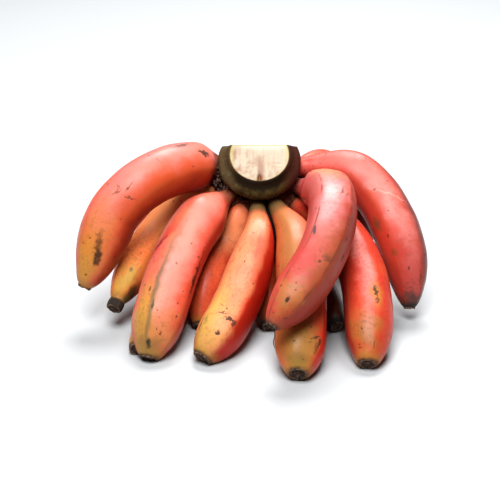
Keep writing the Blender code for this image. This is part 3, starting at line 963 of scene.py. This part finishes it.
peel.scars(
    ((0.988, 0.62), (1.2, 4.8), 0.95, 1.2, 0.35, -8, (0.045, 0.032, 0.032)),
    ((0.865, 0.43), (0.9, 3.6), 0.65, 1.6, 0.6, 14),
    ((0.835, 0.445), (0.8, 2.6), 0.55, 1.6, 0.6, 24),
    ((0.86, 0.74), (1.6, 1.2), 0.95, 1.2),
    ((0.83, 0.715), (3.4, 2.2), 0.65, 3, 0.7),
    ((0.89, 0.70), (2.0, 0.8), 0.7, 2.4),
    ((0.72, 0.66), (1.2, 3.6), 0.75, 1.6),
    ((0.76, 0.60), (0.8, 1.6), 0.6, 1.5),
    ((0.895, 0.912), (1.7, 2.6), 0.97, 1.2, 0.35, 0, (0.04, 0.015, 0.010)),
    ((0.80, 0.965), (1.0, 1.8), 0.85, 1.5, 0.35, 30),
    ((0.95, 0.80), (0.6, 1.0), 0.7))
peel.ends(stem_reach=14, stem=(0.16, 0.035, 0.028), tip_reach=0.6, tip_green=(0.30, 0.07, 0.03))
peel.finish(specks=0.55, ridge=0.8, ridge_colour=(0.13, 0.04, 0.028), ridge_width=0.7)
flower_end(fruit)

# front_banana_6: the right-hand outer fruit, red with a grey outer edge; a streak
# of dried milky sap lies across it. The grey outer edge is painted shade, and a
# pale highlight is painted down its middle.
fruit = Banana("front_banana_6", FRONT, 93, 19.7,
               ((77, 79, 99), (111.2, 44, 72), (123.2, 20, 34), (124.4, 9, 11)),
               neck=8, swell=50, taper=54, end=4.4, seed=6)
peel = Peel(fruit, (0.57, 0.080, 0.060), (0.57, 0.075, 0.035), 0.35)
peel.patches(
    # painted highlight: pale pink down the middle of the fruit
    ((0.68, 0.21, 0.18), (0.11, 0.66), (8, 60), 0.85, 5, 0.9),
    ((0.52, 0.04, 0.018), (0.24, 0.70), (11, 60), 0.8, 5, 0.7),
    ((0.42, 0.030, 0.022), (0.13, 0.90), (18, 32), 0.75, 6, 0.9),
    # painted shade: dark grey along the outer edge
    ((0.075, 0.034, 0.034), (0.966, 0.68), (6.0, 54), 0.85, 2.5, 1.0),
    ((0.70, 0.34, 0.27), (0.09, 0.525), (12, 0.6), 0.55, 1.5, 0.9, 43, 200))
peel.freckles(
    ((0.28, 0.05, 0.025), (0.18, 0.72), (20, 44), 0.5, 0.55),
    ((0.10, 0.04, 0.03), (0.08, 0.95), (24, 10), 0.85, 0.50))
peel.patch((0.14, 0.055, 0.022), (0.265, 0.615), (3.4, 4.6), 0.85, 3, 0.9, 0, 200)
peel.scar((0.215, 0.68), (1.0, 1.6), 0.8)
peel.patch((0.20, 0.05, 0.015), (0.205, 0.75), (2.0, 3.0), 0.85, 2, 0.9, 0, 200)
peel.scars(
    ((0.13, 0.83), (1.0, 1.6), 0.75),
    ((0.98, 0.79), (1.0, 1.4), 0.8),
    ((0.03, 0.87), (1.4, 5), 0.6, 3, 0.8))
peel.patch((0.045, 0.028, 0.026), (0.06, 0.965), (24, 5), 0.85, 7, 0.9, 0, 150)
peel.ends(stem_reach=4, stem=(0.20, 0.04, 0.028), tip_reach=3.4, tip=(0.030, 0.020, 0.018),
          tip_green=(0.10, 0.03, 0.02))
peel.finish(specks=0.4, ridge=0.25)
flower_end(fruit, 1.05, 1.2)

# back_banana_1: the hidden outer fruit behind the first, evenly red. It reaches
# down to the ground and carries the hand on the left.
fruit = Banana("back_banana_1", BACK, -107, 15.5,
               ((-44, 118.5, 91), (-78, 114, 56), (-86, 98, 0.3)), swell=52, seed=11)
peel = Peel(fruit, (0.52, 0.05, 0.03), (0.54, 0.09, 0.03), 0.5)
peel.patch((0.50, 0.17, 0.03), (0.4, 0.90), (24, 22), 0.8, 6, 0.8)
peel.scars(
    ((0.30, 0.45), (1.2, 5), 0.7, 1.6, 0.35, 12),
    ((0.52, 0.62), (1.6, 2.0), 0.7, 1.6))
peel.freckle((0.24, 0.07, 0.02), (0.45, 0.70), (30, 40))
peel.ends(stem_reach=8)
peel.finish()
flower_end(fruit)

# back_banana_2: the orange fruit between the first two, olive below, with a long
# dark end that stands off like a peg.
fruit = Banana("back_banana_2", BACK, -72, 16.2,
               ((-60, 76, 65), (-90.2, 31, 41), (-107, -8, 19)), swell=50, end=5.6, stub=8,
               nub=0.9, seed=12)
peel = Peel(fruit, (0.84, 0.17, 0.05), (0.80, 0.22, 0.06), 0.6, shine=0.05)
peel.patches(
    ((0.46, 0.29, 0.05), (0.88, 0.87), (10, 15), 0.85, 6, 0.7),
    ((0.62, 0.14, 0.03), (0.75, 0.70), (8, 40), 0.7, 5, 0.7),
    # painted light: bright orange over its upper part, where front_banana_1 shades it
    ((1.0, 0.34, 0.12), (0.88, 0.36), (34, 34), 1.0, 5, 0.8),
    ((0.030, 0.024, 0.012), (0.71, 0.935), (7, 13), 0.9, 4, 0.5))
peel.scar((0.86, 0.815), (1.4, 1.8), 0.7, 1.2, 0.35, 0, (0.10, 0.11, 0.06))
peel.freckle((0.34, 0.15, 0.04), (0.88, 0.78), (14, 26), 0.6, 0.54)
peel.ends(stem_reach=8, stem=(0.36, 0.12, 0.035), tip_reach=6.5, tip=(0.030, 0.022, 0.018),
          tip_green=(0.14, 0.11, 0.03))
peel.finish(specks=0.4)
flower_end(fruit)

# back_banana_3: the slim fruit under the second one, the thinnest of the hand. Its
# outer face is yellow-olive and freckled.
fruit = Banana("back_banana_3", BACK, -48, 12.5,
               ((-48, 72, 35), (-66, 21, 13), (-81, -22, 10), (-86, -48, 5)), swell=60, taper=60,
               seed=13)
peel = Peel(fruit, (0.56, 0.09, 0.03), (0.58, 0.13, 0.03), 0.5)
peel.patch((0.52, 0.32, 0.08), (0.95, 0.8), (14, 40), 0.9)
peel.freckle((0.24, 0.12, 0.03), (0.95, 0.85), (14, 26))
peel.ends(stem_reach=10, tip_reach=2.4)
peel.finish()
flower_end(fruit)

# back_banana_4: the orange-red fruit between the second and third of the front. It
# bends down behind them from a thick, short stem.
fruit = Banana("back_banana_4", BACK, -24, 16.0,
               ((-18, 56, 48), (-31, 30, 32), (-40, -8, 3.5)), neck=8.6, stem=1, swell=34, seed=14)
peel = Peel(fruit, (0.60, 0.066, 0.022), (0.62, 0.09, 0.03), 0.5)
peel.patches(
    ((0.80, 0.25, 0.10), (0.93, 0.30), (14, 24), 0.9, 4, 0.8),
    ((0.30, 0.016, 0.007), (0.80, 0.62), (7, 60), 0.7, 4, 0.7))
peel.freckle((0.28, 0.05, 0.02), (0.92, 0.60), (16, 50), 0.5)
peel.ends(stem_reach=3, stem=(0.24, 0.06, 0.03), root=(0.10, 0.028, 0.018))
peel.finish()
flower_end(fruit)

# back_banana_5: a red fruit deep under the middle of the hand. Only its end comes
# forward between its neighbours, painted near black as shade.
fruit = Banana("back_banana_5", BACK, 3, 16.0,
               ((9, 56, 44), (13, 28, 24), (14, -12, 4.6)), swell=60, seed=15)
peel = Peel(fruit, (0.50, 0.04, 0.014), (0.52, 0.08, 0.02), 0.5)
# painted shade: its end and dried tip, near black
peel.patch((0.10, 0.022, 0.010), (0.5, 0.97), (70, 22), 0.9, 5, 0.7)
peel.ends(stem_reach=8, tip_reach=3.0, tip=(0.02, 0.010, 0.008), tip_green=(0.05, 0.02, 0.01))
peel.finish()
flower_end(fruit)

# back_banana_6: like the fifth and beside it on the right. Its lower half is painted
# dark brown as shade, and its dried flower is small and flat.
fruit = Banana("back_banana_6", BACK, 27, 16.0,
               ((36, 60.5, 36), (50, 30, 20), (66, -14, 6.2)), swell=60, seed=16)
peel = Peel(fruit, (0.56, 0.07, 0.025), (0.58, 0.12, 0.03), 0.5)
# painted shade: the lower half and the dried tip, near black
peel.patch((0.035, 0.012, 0.007), (0.5, 0.90), (70, 36), 0.97, 5)
peel.ends(stem_reach=3, stem=(0.30, 0.07, 0.03), root=(0.12, 0.03, 0.02), tip_reach=3.0,
          tip=(0.014, 0.009, 0.008), tip_green=(0.02, 0.010, 0.008))
peel.finish()
flower_end(fruit, 0.85, 0.4)

# back_banana_7: the stout fruit on the right, red above and olive-brown round its
# tip, with a yellowish scar on the ridge that it turns outwards.
fruit = Banana("back_banana_7", BACK, 51, 19.5,
               ((58.5, 52, 66.5), (84.2, 4, 47), (87.2, -42, 20.5), (84.8, -70, 5.5)), swell=40,
               taper=40, end=6.8, seed=17)
peel = Peel(fruit, (0.55, 0.042, 0.022), (0.56, 0.08, 0.022), 0.4)
peel.patches(
    # painted shade: dark red down its left side
    ((0.34, 0.014, 0.006), (0.20, 0.55), (7, 70), 0.7, 4, 0.7),
    # painted highlight: pale pink down its middle
    ((0.66, 0.20, 0.17), (0.06, 0.60), (5, 44), 0.75, 5, 1.0),
    ((0.29, 0.115, 0.022), (0.09, 0.91), (13, 17), 0.8, 8, 0.8),
    ((0.46, 0.15, 0.03), (0.012, 0.74), (4.5, 10), 0.85, 4, 0.8, -12))
peel.freckles(
    ((0.15, 0.050, 0.012), (0.10, 0.88), (14, 16), 0.5, 0.51),
    ((0.28, 0.03, 0.015), (0.08, 0.50), (18, 50), 0.5, 0.53))
peel.scars(
    ((0.015, 0.725), (1.1, 5), 0.95, 1.8, 0.35, -12, (0.07, 0.03, 0.01)),
    ((0.008, 0.765), (0.8, 3), 0.85, 1.6, 0.35, 6),
    ((0.06, 0.43), (0.7, 1.2), 0.7),
    ((0.12, 0.89), (1.0, 1.6), 0.85, 1.2),
    ((0.01, 0.95), (0.6, 3)),
    ((0.15, 0.96), (2.4, 1.0), 0.75, 1.6, 0.35, 30))
peel.ends(stem_reach=14, stem=(0.36, 0.10, 0.04), tip_reach=0.6)
peel.finish(specks=0.45)
flower_end(fruit, 0.92, 0.8)

# back_banana_8: the outer fruit behind the sixth: pink where it leaves the crown and
# painted deep maroon below as shade, down to the ground that it stands on.
fruit = Banana("back_banana_8", BACK, 107, 16.5,
               ((54, 110, 92), (84, 114, 58), (88, 99, 0.3)), seed=18)
peel = Peel(fruit, (0.60, 0.11, 0.085), (0.58, 0.10, 0.06), 0.4)
# painted shade: near-black maroon over the lower part
peel.patch((0.11, 0.010, 0.006), (0.5, 0.82), (80, 68), 0.95, 5, 0.5)
peel.scar((0.06, 0.30), (3.0, 1.2), 0.5, 2, 0.35, 20)
peel.freckle((0.26, 0.06, 0.03), (0.0, 0.30), (18, 24))
peel.ends(stem_reach=8, stem=(0.30, 0.07, 0.05))
peel.finish(ridge=0.25)
flower_end(fruit)


# Dried tissue: black crumbs of old leaf sheath, caught between the crown and the
# outer stems, most of them on the left.
def scatter_crumbs(name, count, angles, reaches, depths, sizes, seed):
    """Small uneven chips at seeded places round the stalk, as one piece."""
    dice = random.Random(seed)
    chips = []
    bpy.ops.object.select_all(action="DESELECT")
    for step in range(count):
        turn = math.radians(dice.uniform(*angles))
        place = stem_place(turn, dice.uniform(*reaches), dice.uniform(*depths))
        size = dice.uniform(*sizes) * MM
        bpy.ops.mesh.primitive_ico_sphere_add(
            subdivisions=2, radius=size, location=place,
            rotation=(dice.uniform(0, 3), dice.uniform(0, 3), dice.uniform(0, 3)),
            scale=(1, dice.uniform(0.5, 0.9), dice.uniform(0.3, 0.6)))
        chip = bpy.context.object
        bpy.ops.object.transform_apply(location=False, rotation=True, scale=True)
        for point in chip.data.vertices:
            point.co *= 1 + 0.45 * noise.noise(point.co / size * 1.3 + Vector((step, 0, 0)))
        chips.append(chip)
    for chip in chips:
        chip.select_set(True)
    bpy.context.view_layer.objects.active = chips[0]
    bpy.ops.object.join()
    bpy.ops.object.transform_apply(location=True, rotation=True, scale=True)
    heap = bpy.context.object
    heap.name = name
    heap.data.name = name
    for layer in list(heap.data.uv_layers):
        heap.data.uv_layers.remove(layer)
    heap.data.materials.append(DRIED)
    bpy.ops.object.shade_smooth_by_angle(angle=CREASE)
    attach(heap, "root")


scatter_crumbs("dried_sheath_left", 80, (-102, -48), (31, 41), (13, 25), (0.7, 2.3), 4)
scatter_crumbs("dried_sheath_right", 12, (52, 76), (30, 37), (16, 24), (0.5, 1.3), 8)


# The style: a thin, dry and crooked thread, the last of the flower's pistil, that
# still hangs from the flower end of front_banana_5.
THREAD_RADIUS = 0.35
THREAD_SIDES = 8
THREAD_STEPS = 20
THREAD_BENDS = ((0, 0, 0), (2.5, -2, -5), (1.5, -3, -11), (3, -2.5, -17))
thread_start = bpy.data.objects["front_banana_5_flower_end"].data.vertices[-1].co.copy()
line = smooth_line([thread_start + Vector(bend) * MM for bend in THREAD_BENDS])
line = line[::LINE_STEPS // THREAD_STEPS]
thread_shares = [index / (len(line) - 1) for index in range(len(line))]
thread_rows = []
for share, centre in zip(thread_shares, line):
    width = THREAD_RADIUS * MM * math.sin(math.pi * min(0.04 + share, 0.96)) ** 0.3
    width = 0.0 if share in (0.0, 1.0) else width
    turns = [2 * math.pi * step / THREAD_SIDES for step in range(THREAD_SIDES)]
    thread_rows.append([Vector(centre) + Vector((math.cos(turn), math.sin(turn), 0)) * width
                        for turn in turns])
thread = roll_sheet("front_banana_5_style", thread_rows, thread_shares)
thread.data.materials.append(DRIED)
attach(thread, "root")
